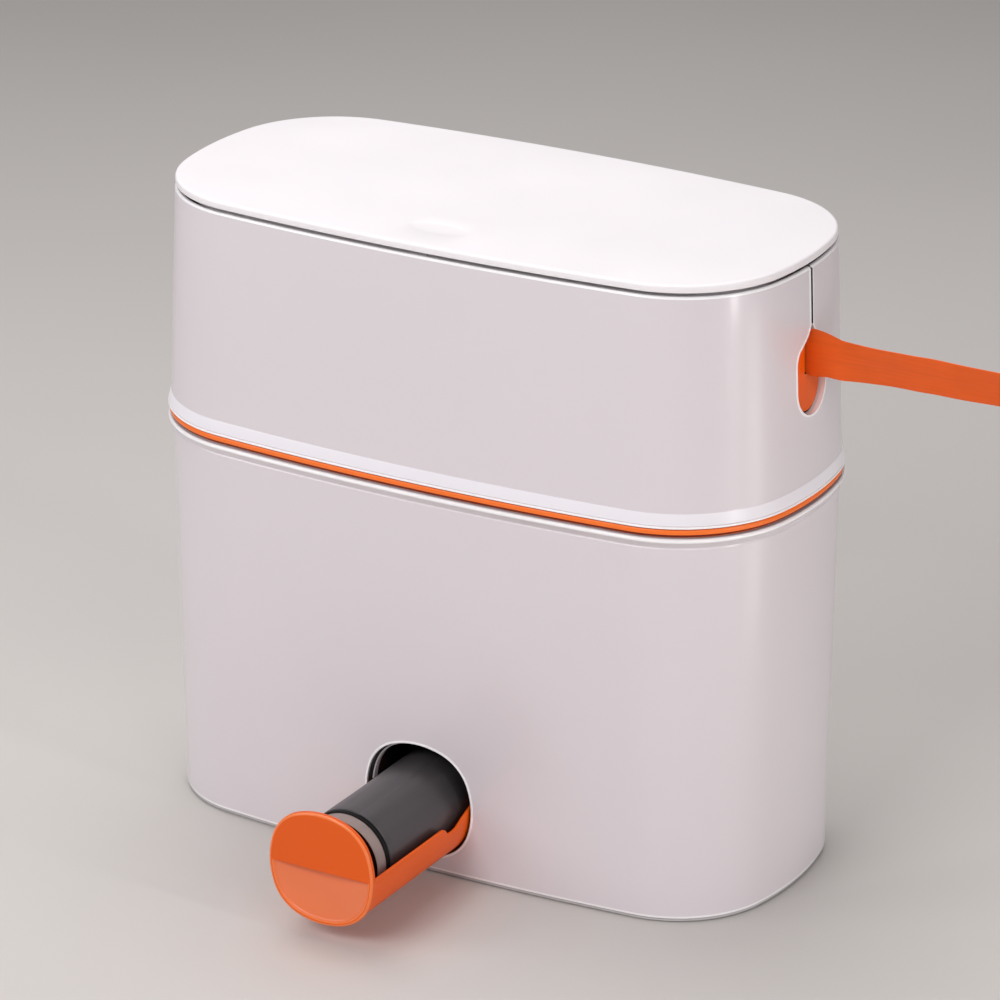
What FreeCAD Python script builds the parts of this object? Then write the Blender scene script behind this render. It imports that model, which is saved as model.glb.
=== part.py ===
import FreeCAD, Part
import math
import os

# Slim oval bin with a press lid, a one-pull bag strap and a bag roll dispenser.
# Millimetres. X is the long side, +X the strap end. -Y is the front. +Z is up.
# The origin is on the floor, under the middle of the foot ring.

os.makedirs("parts", exist_ok=True)
V = FreeCAD.Vector

# ---- driving dimensions -------------------------------------------------------------
WIDTH = 356.0            # long side of the widest outline, at the collar's lower lip
DEPTH = 178.0            # short side of the same outline
HEIGHT = 335.0           # floor to lid top
SIDE_R = 1268.5          # radius of the gently bowed long sides
END_R = 173.25           # radius of the bowed ends
CORNER_R = 65.5          # radius between them, at the lip
FOOT_CORNER_R = 61.1     # the same corner measured at the foot of the bucket
WALL = 2.4               # moulded wall of bucket and collar

FOOT_INSET = 6.0         # bucket outline at the floor, drawn in from the widest outline
RIM_INSET = 2.4          # the same just under the bucket's rim
SHELL_Z = 2.4            # lower edge of the bucket's wall
WALL_TOP_Z = 202.2       # the wall's upper end, where the rim starts to flare
RIM_Z = 207.8            # top of the bucket's rim

COLLAR_Z = 213.0         # lower edge of the collar
SKIRT_TOP_Z = 220.4      # where the flared skirt meets the collar's wall
SKIRT_TOP_INSET = 1.9
COLLAR_TOP_Z = 329.2
COLLAR_TOP_INSET = 6.1   # collar wall at its upper end

LID_Z = 331.0            # lower edge of the lid
LID_INSET = 6.4
LID_SKIN = 2.2           # lid thickness

DRAWER_Z = 39.3          # axis of the dispenser opening
PORT_R = 30.5            # half width of the opening, a circle with slightly flattened sides
PORT_SIDE_R = 41.0       # radius of its four sides
PORT_CORNER_R = 24.0     # radius of the four corners between them
FACE_INSET = 0.6         # the drawer's front, drawn in from the opening
FACE_T = 3.0
DRAWER_OUT = 93.0        # how far the drawer stands out
FACE_CLOSED_Y = -83.6    # outside of the drawer front when it is shut
TROUGH_INSET = 1.4       # outside of the half-open trough, drawn in from the opening
TROUGH_WALL = 1.8
TROUGH_LENGTH = 120.0    # from the drawer front's outside to the trough's end
ROLL_Z = 36.7            # the roll lies on the trough's floor
ROLL_R = 24.2

STRAP_W = 21.0           # strap width, standing on edge
STRAP_T = 1.2
STRAP_Z = 285.0          # middle of the strap
STRAP_IN_X = 158.0       # inner end of the straight length
STRAP_OUT_X = 276.0      # where the pull tab starts
TAB_LENGTH = 24.0
TAB_T = 3.2

PIVOT_Y = 81.4           # lid hinge axis, in the collar's rear wall
PIVOT_Z = 324.5
HINGE_X = 34.0           # middle of each of the two hinges
PIN_R = 1.5
KNUCKLE_R = 3.3

PARTS = {}


# ---- outline ------------------------------------------------------------------------
def oval_points(inset, corner):
    """Tangent points and middles of the eight arcs of the oval, for one quadrant."""
    side_c = -(SIDE_R - DEPTH / 2)
    end_c = -(END_R - WIDTH / 2)
    a = SIDE_R - corner
    b = END_R - corner
    gap = math.hypot(end_c, side_c)
    along = (a * a - b * b + gap * gap) / (2 * gap)
    off = math.sqrt(a * a - along * along)
    ux, uy = end_c / gap, -side_c / gap
    cx = along * ux + off * uy
    cy = side_c + along * uy - off * ux
    side_t = math.atan2(cy - side_c, cx)
    end_t = math.atan2(cy, cx - end_c)
    mid_t = (side_t + end_t) / 2
    end_mid = (end_c + END_R - inset, 0)
    end_pt = (end_c + (END_R - inset) * math.cos(end_t), (END_R - inset) * math.sin(end_t))
    corner_mid = (cx + (corner - inset) * math.cos(mid_t), cy + (corner - inset) * math.sin(mid_t))
    side_pt = ((SIDE_R - inset) * math.cos(side_t), side_c + (SIDE_R - inset) * math.sin(side_t))
    side_mid = (0, side_c + SIDE_R - inset)
    return end_mid, end_pt, corner_mid, side_pt, side_mid


def oval(inset, z, corner=CORNER_R):
    """The bin's plan outline, drawn in by inset, at height z."""
    end_mid, end_pt, corner_mid, side_pt, side_mid = oval_points(inset, corner)

    def at(point, sx, sy):
        return V(point[0] * sx, point[1] * sy, z)

    arcs = [
        (at(end_pt, 1, -1), at(end_mid, 1, 1), at(end_pt, 1, 1)),
        (at(end_pt, 1, 1), at(corner_mid, 1, 1), at(side_pt, 1, 1)),
        (at(side_pt, 1, 1), at(side_mid, 1, 1), at(side_pt, -1, 1)),
        (at(side_pt, -1, 1), at(corner_mid, -1, 1), at(end_pt, -1, 1)),
        (at(end_pt, -1, 1), at(end_mid, -1, 1), at(end_pt, -1, -1)),
        (at(end_pt, -1, -1), at(corner_mid, -1, -1), at(side_pt, -1, -1)),
        (at(side_pt, -1, -1), at(side_mid, -1, -1), at(side_pt, 1, -1)),
        (at(side_pt, 1, -1), at(corner_mid, 1, -1), at(end_pt, 1, -1)),
    ]
    return Part.Wire([Part.Arc(*arc).toShape() for arc in arcs])


def stack(sections, extra=0.0, corner=CORNER_R):
    """A solid through oval sections given as (height, inset)."""
    return Part.makeLoft([oval(inset + extra, z, corner) for z, inset in sections], True, True)


def slab(inset, z0, z1, corner=CORNER_R):
    """A straight-sided oval plate."""
    return Part.Face(oval(inset, z0, corner)).extrude(V(0, 0, z1 - z0))


def ring(inset, width, z0, z1, corner=CORNER_R):
    """A straight-sided oval ring."""
    return slab(inset, z0, z1, corner).cut(slab(inset + width, z0 - 1, z1 + 1, corner))


def foot_corner(z):
    """Corner radius of the bucket's outline at height z."""
    return FOOT_CORNER_R + (CORNER_R - FOOT_CORNER_R) * z / WALL_TOP_Z


def bucket_inset(z):
    return FOOT_INSET + (RIM_INSET - FOOT_INSET) * z / WALL_TOP_Z


def collar_inset(z):
    part = (z - SKIRT_TOP_Z) / (COLLAR_TOP_Z - SKIRT_TOP_Z)
    return SKIRT_TOP_INSET + (COLLAR_TOP_INSET - SKIRT_TOP_INSET) * part


def box(x0, x1, y0, y1, z0, z1):
    return Part.makeBox(x1 - x0, y1 - y0, z1 - z0, V(x0, y0, z0))


def rod_x(radius, x0, x1, y, z):
    return Part.makeCylinder(radius, x1 - x0, V(x0, y, z), V(1, 0, 0))


def rod_y(radius, y0, y1, z=DRAWER_Z):
    return Part.makeCylinder(radius, y1 - y0, V(0, y0, z), V(0, 1, 0))


def porthole(inset, y0, y1):
    """A prism along Y with the dispenser opening's outline, drawn in by inset."""
    back = PORT_SIDE_R - PORT_R
    reach = PORT_SIDE_R - PORT_CORNER_R
    corner = (math.sqrt(2 * reach * reach - back * back) - back) / 2
    turn = math.atan2(corner, corner + back)
    side = PORT_SIDE_R - inset
    joint = (side * math.cos(turn) - back, side * math.sin(turn))
    middle = corner + (PORT_CORNER_R - inset) * math.sqrt(0.5)

    def at(a, b, quarter):
        c, s = [(1, 0), (0, 1), (-1, 0), (0, -1)][quarter % 4]
        return V(a * c - b * s, y0, DRAWER_Z + a * s + b * c)

    edges = []
    for q in range(4):
        start, end = at(joint[0], -joint[1], q), at(joint[0], joint[1], q)
        edges.append(Part.Arc(start, at(PORT_R - inset, 0, q), end).toShape())
        edges.append(Part.Arc(end, at(middle, middle, q), at(joint[0], -joint[1], q + 1)).toShape())
    return Part.Face(Part.Wire(edges)).extrude(V(0, y1 - y0, 0))


def rod_z(radius, x, y, z0, z1):
    return Part.makeCylinder(radius, z1 - z0, V(x, y, z0), V(0, 0, 1))


def fuse(shapes):
    return shapes[0].multiFuse(shapes[1:]).removeSplitter()


# ---- bucket -------------------------------------------------------------------------
BASE_TOP_Z = 3.6
BOSS_R = 4.2
BOSS_TOP_Z = 20.0
BOSSES = [(sx * 105.0, sy * 73.0) for sx in (-1, 1) for sy in (-1, 1)] + [(-166.0, 0.0), (166.0, 0.0)]
SCREW_R = 1.45
LEDGE_Z = 74.5           # the inner floor lies on this ledge
FLOOR_T = 2.5
FLOOR_Z = LEDGE_Z + FLOOR_T


def bucket_wall_section(z, inset):
    return oval(inset, z, foot_corner(min(z, WALL_TOP_Z)))


def lower_bucket():
    rim = [(WALL_TOP_Z, RIM_INSET), (205.8, 0.4), (206.2, 0.1), (207.3, 0.1), (RIM_Z, 0.6)]
    outer = [(SHELL_Z, bucket_inset(SHELL_Z))] + rim
    inner = [(SHELL_Z - 1, bucket_inset(SHELL_Z) + WALL), (WALL_TOP_Z, RIM_INSET + WALL)]
    inner.append((RIM_Z + 1, RIM_INSET + WALL))
    shell = Part.makeLoft([bucket_wall_section(z, inset) for z, inset in outer], True, True)
    hollow = Part.makeLoft([bucket_wall_section(z, inset) for z, inset in inner], True, True)
    shell = shell.cut(hollow)
    ledge_inset = bucket_inset(LEDGE_Z) + WALL - 0.8
    ledge = ring(ledge_inset, 4.5, LEDGE_Z - 3, LEDGE_Z, foot_corner(LEDGE_Z))
    ledge = ledge.cut(box(-32, 32, -DEPTH / 2, 0, LEDGE_Z - 4, LEDGE_Z + 1))
    posts = [rod_z(BOSS_R, x, y, BASE_TOP_Z, BOSS_TOP_Z) for x, y in BOSSES]
    body = fuse([shell, ledge] + posts)
    for x, y in BOSSES:
        body = body.cut(rod_z(SCREW_R + 0.02, x, y, BASE_TOP_Z - 1, BOSS_TOP_Z - 3))
    return body.cut(porthole(0, -100, -60))


FLANGE_Z = 2.0           # base plate's flange is seen as a thin line under the wall
FOOT_Z = 0.8
FOOT_RING_INSET = 16.0
FOOT_RING_WIDTH = 8.0


def base_plate():
    flange = slab(FOOT_INSET + 0.9, FOOT_Z, FLANGE_Z, FOOT_CORNER_R)
    spigot = slab(FOOT_INSET + WALL + 0.5, FLANGE_Z, BASE_TOP_Z, FOOT_CORNER_R)
    plate = fuse([flange, spigot])
    plate = plate.cut(ring(FOOT_RING_INSET, FOOT_RING_WIDTH, 0, FLANGE_Z, FOOT_CORNER_R))
    for x, y in BOSSES:
        plate = plate.cut(rod_z(SCREW_R + 0.15, x, y, 0, BASE_TOP_Z + 1))
        plate = plate.cut(rod_z(3.2, x, y, 0, FLANGE_Z + 0.1))
    return plate


def foot_ring():
    return ring(FOOT_RING_INSET, FOOT_RING_WIDTH, 0, FLANGE_Z, FOOT_CORNER_R)


def screw_down(x, y, head_z, head_r, head_t, tip_z):
    """A pan head screw whose head is at head_z and whose shank points to tip_z."""
    if tip_z > head_z:
        return fuse([rod_z(head_r, x, y, head_z, head_z + head_t), rod_z(SCREW_R, x, y, head_z, tip_z)])
    return fuse([rod_z(head_r, x, y, head_z - head_t, head_z), rod_z(SCREW_R, x, y, tip_z, head_z)])


def base_screws():
    return Part.Compound([screw_down(x, y, FOOT_Z + 0.1, 3.0, 1.2, 15.0) for x, y in BOSSES])


TUBE_SLACK = 0.1         # the sleeve's inside is this much larger than the opening
TUBE_WALL = 2.0
TUBE_FRONT_Y = -80.3
TUBE_BACK_Y = 40.0
TUBE_BACK_T = 2.0
STOP_INSET = 0.9         # narrow ring that the drawer's lugs meet
STOP_T = 2.0
FEED_HALF_W = 5.0        # half width of the slot that bags come up through
FEED_Y = (-45.0, 28.0)


def dispenser_tube():
    outside = -TUBE_SLACK - TUBE_WALL
    tube = porthole(outside, TUBE_FRONT_Y, TUBE_BACK_Y)
    tube = fuse([tube, porthole(outside - 1.5, TUBE_FRONT_Y, TUBE_FRONT_Y + 2)])
    saddles = [box(-14, 14, y, y + 8, BASE_TOP_Z, 12) for y in (-60, 22)]
    body = fuse([tube] + saddles)
    body = body.cut(porthole(-TUBE_SLACK, TUBE_FRONT_Y + STOP_T, TUBE_BACK_Y - TUBE_BACK_T))
    body = body.cut(porthole(STOP_INSET, TUBE_FRONT_Y - 1, TUBE_FRONT_Y + STOP_T + 1))
    return body.cut(box(-FEED_HALF_W, FEED_HALF_W, FEED_Y[0], FEED_Y[1], 60, 80))


FLOOR_OPENING = (-14.0, 14.0, -50.0, 34.0)


def inner_floor():
    x0, x1, y0, y1 = FLOOR_OPENING
    plate = slab(bucket_inset(LEDGE_Z) + WALL + 0.5, LEDGE_Z, FLOOR_Z, foot_corner(LEDGE_Z))
    return plate.cut(box(x0, x1, y0, y1, LEDGE_Z - 1, FLOOR_Z + 1))


def feed_grommet():
    x0, x1, y0, y1 = FLOOR_OPENING
    flange = box(x0 - 4, x1 + 4, y0 - 4, y1 + 4, FLOOR_Z, FLOOR_Z + 1.5)
    neck = box(x0 + 0.2, x1 - 0.2, y0 + 0.2, y1 - 0.2, LEDGE_Z, FLOOR_Z)
    throat = box(x0 + 4, x1 - 4, y0 + 4, y1 - 4, LEDGE_Z - 1, FLOOR_Z + 3)
    return fuse([flange, neck]).cut(throat)


# ---- collar -------------------------------------------------------------------------
TEAR_HALF = 14.5         # half width of the teardrop opening in the collar's end
TEAR_BOTTOM_Z = 254.1
TEAR_SHOULDER_Z = 282.0
TEAR_TIP_Z = 299.0
SLIT_HALF = 0.8


def teardrop(grow, x0, x1):
    """The teardrop opening with the slit's start, as a prism along X, grown by grow."""
    half = TEAR_HALF + grow
    low = TEAR_BOTTOM_Z - grow
    tip = TEAR_TIP_Z + grow
    neck = SLIT_HALF + max(grow, 0)

    def at(y, z):
        return V(x0, y, z)

    hip = (half * 0.78, TEAR_SHOULDER_Z + 7.3 + grow * 0.6)
    edges = [
        Part.Arc(at(-half, low + half), at(0, low), at(half, low + half)).toShape(),
        Part.makeLine(at(half, low + half), at(half, TEAR_SHOULDER_Z)),
        Part.Arc(at(half, TEAR_SHOULDER_Z), at(half * 0.945, TEAR_SHOULDER_Z + 4), at(*hip)).toShape(),
        Part.Arc(at(*hip), at(half * 0.36, hip[1] + 4.6), at(neck, tip)).toShape(),
        Part.makeLine(at(neck, tip), at(-neck, tip)),
        Part.Arc(at(-neck, tip), at(-half * 0.36, hip[1] + 4.6), at(-hip[0], hip[1])).toShape(),
        Part.Arc(at(-hip[0], hip[1]), at(-half * 0.945, TEAR_SHOULDER_Z + 4), at(-half, TEAR_SHOULDER_Z)).toShape(),
        Part.makeLine(at(-half, TEAR_SHOULDER_Z), at(-half, low + half)),
    ]
    return Part.Face(Part.Wire(edges)).extrude(V(x1 - x0, 0, 0))


SHELL_BARRELS = [(-16.0, -8.2), (8.2, 16.0)]   # the shell's hinge barrels, about each hinge's middle
KNUCKLES = [(-7.9, -1.9), (1.9, 7.9)]          # the lid's knuckles between them
NOTCH_HALF = 8.2
NOTCH_Z = 320.2


def end_skin(deep0, deep1, z0, z1):
    """A skin behind the collar's outside, between two depths measured from it."""
    outer = stack([(z0, collar_inset(z0)), (z1, collar_inset(z1))], deep0)
    inner = stack([(z0 - 1, collar_inset(z0)), (z1 + 1, collar_inset(z1))], deep1)
    return outer.cut(inner)


TEAR_RIM = (1.2, 1.8)    # the rim behind the teardrop: how much deeper than the wall, and how wide


def collar_shell():
    lip = [(COLLAR_Z, 0.4), (213.3, 0.0), (214.0, 0.0), (214.2, 0.5), (214.5, 0.5), (214.7, 0.2)]
    skirt = [(SKIRT_TOP_Z - 0.2, 1.6), (SKIRT_TOP_Z, SKIRT_TOP_INSET)]
    top = [(327.8, collar_inset(327.8)), (328.8, 6.5), (COLLAR_TOP_Z, 7.1)]
    outer = stack(lip + skirt + top)
    above = COLLAR_TOP_Z + 1
    hollow = [(COLLAR_Z - 1, SKIRT_TOP_INSET), (SKIRT_TOP_Z, SKIRT_TOP_INSET), (above, collar_inset(above))]
    inner = stack(hollow, WALL)
    rim = end_skin(WALL - 0.2, WALL + TEAR_RIM[0], 250, 303).common(teardrop(TEAR_RIM[1], 150, 190))
    shell = fuse([outer.cut(inner), rim])
    barrels = []
    for side in (-1, 1):
        for x0, x1 in SHELL_BARRELS:
            barrels.append(rod_x(KNUCKLE_R, side * HINGE_X + x0, side * HINGE_X + x1, PIVOT_Y, PIVOT_Z))
    shell = fuse([shell] + barrels)
    for side in (-1, 1):
        x = side * HINGE_X
        shell = shell.cut(box(x - NOTCH_HALF, x + NOTCH_HALF, 76, 90, NOTCH_Z, HEIGHT))
        shell = shell.cut(rod_x(PIN_R, x - 20, x + 20, PIVOT_Y, PIVOT_Z))
    shell = shell.cut(box(150, 190, -SLIT_HALF, SLIT_HALF, TEAR_TIP_Z - 2, HEIGHT))
    return shell.cut(teardrop(0, 150, 190))


def trim_ring():
    band = ring(0.6, 6.9, 208.5, 212.7)
    seat = ring(3.3, 4.2, RIM_Z, 208.6)
    down = ring(5.4, 2.1, 197.0, 208.6)
    up = ring(4.7, 2.8, 212.6, 224.0)
    return fuse([band, seat, down, up])


SLOT_HALF = 1.0
PLATE_DEPTH = 3.0        # the orange plate sits this far behind the collar's outside
PLATE_BACK = 4.5
PLATE_GAP = 0.9


def strap_guide():
    face = end_skin(PLATE_DEPTH, PLATE_BACK - 0.3, 250, 302).common(teardrop(-PLATE_GAP, 150, 190))
    flange = end_skin(WALL + TEAR_RIM[0] + 0.1, PLATE_BACK, 249, 304).common(teardrop(3.5, 150, 190))
    plate = fuse([face, flange])
    return plate.cut(box(150, 190, -SLOT_HALF, SLOT_HALF, STRAP_Z - 11.1, STRAP_Z + 11.1))


TRACK_Z = (268.0, 302.0)
TRACK_LIP = 1.5


def strap_track():
    z0, z1 = TRACK_Z
    skin = end_skin(WALL + 0.1, WALL + 1.2, z0, z1)
    lips = [end_skin(WALL + 0.1, WALL + 5.0, z, z + TRACK_LIP) for z in (z0, z1 - TRACK_LIP)]
    return fuse([skin] + lips).cut(box(100, 190, -21, 21, z0 - 1, z1 + 1))


def strap_loop():
    band = end_skin(WALL + 2.2, WALL + 3.4, STRAP_Z - STRAP_W / 2, STRAP_Z + STRAP_W / 2)
    return band.cut(box(100, 190, -4, 4, TRACK_Z[0], TRACK_Z[1]))


def hinge_pins():
    pins = [rod_x(PIN_R, side * HINGE_X - 15, side * HINGE_X + 15, PIVOT_Y, PIVOT_Z) for side in (-1, 1)]
    return Part.Compound(pins)


def hinge_springs():
    coils = []
    for side in (-1, 1):
        x = side * HINGE_X
        coil = rod_x(2.8, x - 1.5, x + 1.5, PIVOT_Y, PIVOT_Z)
        coils.append(coil.cut(rod_x(1.7, x - 2, x + 2, PIVOT_Y, PIVOT_Z)))
    return Part.Compound(coils)


LATCH_Y = -75.0
LATCH_Z0 = 304.0
LATCH_TOP_Z = 322.0
PLUNGER_Z0 = 309.5
PLUNGER_TOP_Z = 323.5
SPRING_Z0 = 305.5


def latch_housing():
    case = box(-9, 9, LATCH_Y - 5.4, LATCH_Y + 5, LATCH_Z0, LATCH_TOP_Z)
    return case.cut(box(-4, 4, LATCH_Y - 3, LATCH_Y + 3, SPRING_Z0, LATCH_TOP_Z + 1))


def latch_plunger():
    stem = box(-3.6, 3.6, LATCH_Y - 2.6, LATCH_Y + 2.6, PLUNGER_Z0, PLUNGER_TOP_Z)
    return stem.makeFillet(0.8, [e for e in stem.Edges if e.BoundBox.ZMin > PLUNGER_TOP_Z - 0.1])


def latch_spring():
    coil = rod_z(2.2, 0, LATCH_Y, SPRING_Z0, PLUNGER_Z0)
    return coil.cut(rod_z(1.4, 0, LATCH_Y, SPRING_Z0 - 1, PLUNGER_Z0 + 1))


# ---- lid ----------------------------------------------------------------------------
PRESS_MARK = (-2.0, -57.0)
PRESS_MARK_SIZE = (15.9, 7.8)
PANEL_INSET = 9.9
LIP_INSET = 13.1


def lid_top():
    outer = stack([(LID_Z, 6.7), (331.3, LID_INSET), (333.7, LID_INSET), (334.6, 7.0), (HEIGHT, 8.1)])
    inner = slab(LID_INSET + LID_SKIN, LID_Z - 1, HEIGHT - LID_SKIN)
    lid = outer.cut(inner)
    mark = Part.Ellipse(V(PRESS_MARK[0], PRESS_MARK[1], HEIGHT - 0.3), PRESS_MARK_SIZE[0], PRESS_MARK_SIZE[1])
    return lid.cut(Part.Face(Part.Wire([mark.toShape()])).extrude(V(0, 0, 1)))


def lid_inner_panel():
    plate = slab(PANEL_INSET, LID_Z, HEIGHT - LID_SKIN)
    lip = ring(LIP_INSET, 2.0, 326.5, LID_Z + 0.5)
    pieces = [plate, lip]
    for side in (-1, 1):
        x = side * HINGE_X
        pieces.append(box(x - 7.9, x + 7.9, 74, 78, 328.6, LID_Z + 0.5))
        pieces.append(box(x - 7.9, x + 7.9, 76, 81.9, 328.6, LID_Z))
        for x0, x1 in KNUCKLES:
            pieces.append(rod_x(KNUCKLE_R, x + x0, x + x1, PIVOT_Y, PIVOT_Z))
            pieces.append(box(x + x0, x + x1, 79.0, 81.9, PIVOT_Z, 329))
    panel = fuse(pieces)
    for side in (-1, 1):
        x = side * HINGE_X
        panel = panel.cut(rod_x(PIN_R + 0.06, x - 10, x + 10, PIVOT_Y, PIVOT_Z))
    return panel.cut(box(-8, 8, LATCH_Y - 5, LATCH_Y + 5, 320, LID_Z))


def latch_striker():
    foot = box(-7, 7, LATCH_Y - 4, LATCH_Y + 4, LID_Z - 1.5, LID_Z)
    nose = box(-3, 3, LATCH_Y - 2.2, LATCH_Y + 2.2, 325.4, LID_Z - 1)
    return fuse([foot, nose])


# ---- drawer and bag roll ------------------------------------------------------------
FACE_Y = FACE_CLOSED_Y - DRAWER_OUT
TROUGH_END_Y = FACE_Y + TROUGH_LENGTH
PUCK_DEPTH = 6.5
SCOOP_DEPTH = 4.6
LUG_INSET = 0.4
SCOOP_INSET = 3.0
SCOOP_TOP_Z = DRAWER_Z - 0.6
SCOOP_LOW_Z = DRAWER_Z - 26.5


def side_prism(points, half):
    """A prism along X from a (y, z) outline."""
    ring_points = [V(-half, y, z) for y, z in points]
    return Part.Face(Part.makePolygon(ring_points + ring_points[:1])).extrude(V(2 * half, 0, 0))


def dispenser_tray():
    face = porthole(FACE_INSET, FACE_Y, FACE_Y + FACE_T)
    puck = porthole(TROUGH_INSET, FACE_Y, FACE_Y + PUCK_DEPTH).common(box(-40, 40, -200, -100, 0, DRAWER_Z))
    tube = porthole(TROUGH_INSET, FACE_Y + 1, TROUGH_END_Y)
    tube = tube.cut(porthole(TROUGH_INSET + TROUGH_WALL, FACE_Y, TROUGH_END_Y - 2))
    above = [(FACE_Y, DRAWER_Z), (-108.0, DRAWER_Z), (-102.0, 34.6), (-95.5, 34.6), (-90.0, 36.9)]
    above += [(-84.0, 39.8), (-79.0, 41.5), (-50.0, 41.5), (-50.0, 80.0), (FACE_Y, 80.0)]
    trough = tube.cut(side_prism(above, 40))
    lug_y = TUBE_FRONT_Y + STOP_T + 0.3
    lugs = porthole(LUG_INSET, lug_y, lug_y + 3).cut(porthole(TROUGH_INSET + 0.9, lug_y - 1, lug_y + 4))
    lugs = lugs.common(box(-40, 40, -100, -60, 26, 39))
    scoop = porthole(SCOOP_INSET, FACE_Y - 1, FACE_Y + SCOOP_DEPTH)
    wedge = [(FACE_Y, SCOOP_LOW_Z), (FACE_Y + SCOOP_DEPTH, SCOOP_TOP_Z)]
    wedge += [(FACE_Y - 1, SCOOP_TOP_Z), (FACE_Y - 1, SCOOP_LOW_Z)]
    return fuse([face, puck, trough, lugs]).cut(scoop.common(side_prism(wedge, 40)))


ROLL_FRONT_Y = FACE_Y + 17.0
BAND_LENGTH = 8.0
CLIP_LENGTH = 2.5
ROLL_END_Y = TROUGH_END_Y - 3.5
CORE_R = 11.0


def roll_piece(radius, hollow, y0, y1):
    return rod_y(radius, y0, y1, ROLL_Z).cut(rod_y(hollow, y0 - 1, y1 + 1, ROLL_Z))


def roll_core():
    return roll_piece(CORE_R, CORE_R - 1.5, ROLL_FRONT_Y, ROLL_END_Y)


def roll_band():
    return roll_piece(22.6, CORE_R, ROLL_FRONT_Y + 0.3, ROLL_FRONT_Y + BAND_LENGTH)


def roll_clip():
    start = ROLL_FRONT_Y + BAND_LENGTH
    return roll_piece(23.4, CORE_R, start, start + CLIP_LENGTH)


def film_roll():
    return roll_piece(ROLL_R, CORE_R, ROLL_FRONT_Y + BAND_LENGTH + CLIP_LENGTH, ROLL_END_Y - 1)


# ---- strap --------------------------------------------------------------------------
def pull_strap():
    low = STRAP_Z - STRAP_W / 2
    return box(STRAP_IN_X, STRAP_OUT_X, -STRAP_T / 2, STRAP_T / 2, low, low + STRAP_W)


def pull_tab():
    low = STRAP_Z - STRAP_W / 2
    tab = box(STRAP_OUT_X, STRAP_OUT_X + TAB_LENGTH, -TAB_T / 2, TAB_T / 2, low - 0.5, low + STRAP_W + 0.5)
    ends = [e for e in tab.Edges if e.BoundBox.XMin > STRAP_OUT_X + TAB_LENGTH - 0.1 and e.BoundBox.ZLength < 1]
    return tab.makeFillet(5.0, ends)


NODES = [
    lower_bucket, base_plate, foot_ring, base_screws, dispenser_tube, inner_floor, feed_grommet,
    collar_shell, trim_ring, strap_guide, strap_track, strap_loop, hinge_pins, hinge_springs,
    latch_housing, latch_plunger, latch_spring, lid_top, lid_inner_panel, latch_striker,
    dispenser_tray, roll_core, roll_band, roll_clip, film_roll, pull_strap, pull_tab,
]

for make in NODES:
    shape = make()
    print(make.__name__, "valid", shape.isValid(), "solids", len(shape.Solids), "volume", round(shape.Volume))
    shape.exportStep("parts/" + make.__name__ + ".step")
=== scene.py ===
import math

import bmesh
import bpy
import numpy as np
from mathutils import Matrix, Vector


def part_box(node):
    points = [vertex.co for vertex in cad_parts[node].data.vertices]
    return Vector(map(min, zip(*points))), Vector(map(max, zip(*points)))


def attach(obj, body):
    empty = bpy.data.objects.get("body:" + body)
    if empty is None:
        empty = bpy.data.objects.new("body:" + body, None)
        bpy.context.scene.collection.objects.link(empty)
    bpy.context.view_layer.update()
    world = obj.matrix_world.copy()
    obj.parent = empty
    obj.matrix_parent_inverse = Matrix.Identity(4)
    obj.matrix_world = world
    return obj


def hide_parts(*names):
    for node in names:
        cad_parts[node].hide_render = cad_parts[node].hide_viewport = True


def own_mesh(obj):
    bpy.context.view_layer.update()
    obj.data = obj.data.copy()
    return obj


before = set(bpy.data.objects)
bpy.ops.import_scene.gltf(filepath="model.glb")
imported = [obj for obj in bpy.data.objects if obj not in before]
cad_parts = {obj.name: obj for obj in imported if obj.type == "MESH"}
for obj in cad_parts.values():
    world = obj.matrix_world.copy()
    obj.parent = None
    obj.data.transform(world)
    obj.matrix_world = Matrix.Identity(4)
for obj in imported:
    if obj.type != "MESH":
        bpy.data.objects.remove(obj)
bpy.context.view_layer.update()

# A slim oval bin with a press lid, a one-pull strap and a pull-out bag roll.
# Lengths are in millimetres and become metres when a mesh is made.
MM = 0.001


def span(node):
    """Lowest and highest corner of a CAD node, in millimetres."""
    low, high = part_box(node)
    return low / MM, high / MM


# ---- sizes read from the frame ----
lip_low, lip_high = span("collar_shell")
WIDTH = lip_high.x - lip_low.x
DEPTH = -2 * lip_low.y
COLLAR_Z = lip_low.z
COLLAR_TOP_Z = lip_high.z
SHELL_Z = span("lower_bucket")[0].z
RIM_Z = span("lower_bucket")[1].z
LID_Z, TOP_Z = (corner.z for corner in span("lid_top"))
TRIM_LOW_Z, TRIM_HIGH_Z = (corner.z for corner in span("trim_ring"))
tray_low, tray_high = span("dispenser_tray")
tube_low, tube_high = span("dispenser_tube")
roll_low, roll_high = span("film_roll")
strap_low, strap_high = span("pull_strap")
tab_low, tab_high = span("pull_tab")
pin_low, pin_high = span("hinge_pins")

# ---- sizes of the design ----
SIDE_R = 1268.5
END_R = 173.25
CORNER_R = 65.5
FOOT_CORNER_R = 61.1
WALL = 2.4
FOOT_INSET = 6.0
RIM_INSET = 2.4
WALL_TOP_Z = 202.2
FOOT_HIGHLIGHT = 1.3          # height of the painted highlight along the foot's edge
MID_Z = 84.0             # height of an extra ring half-way up the bucket's wall
COLLAR_RING_Z = (250.0, 308.0)           # heights of two more up the collar's
SKIRT_TOP_Z = 220.4
SKIRT_TOP_INSET = 1.9
COLLAR_TOP_INSET = 6.1
LID_INSET = 6.4
LID_T = 4.0
LID_SKIN = 2.2
DRAWER_Z = 39.3
PORT_R = 30.5            # half width of the dispenser opening, a circle with flattened sides
PORT_SIDE_R = 41.0
PORT_CORNER_R = 24.0
FACE_INSET = 0.6
PORT_CORE = 20.0         # inset of the innermost ring that closes a flat port-shaped face
TROUGH_INSET = 1.4
TROUGH_WALL = 1.8
FACE_Y = tray_low.y
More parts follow.
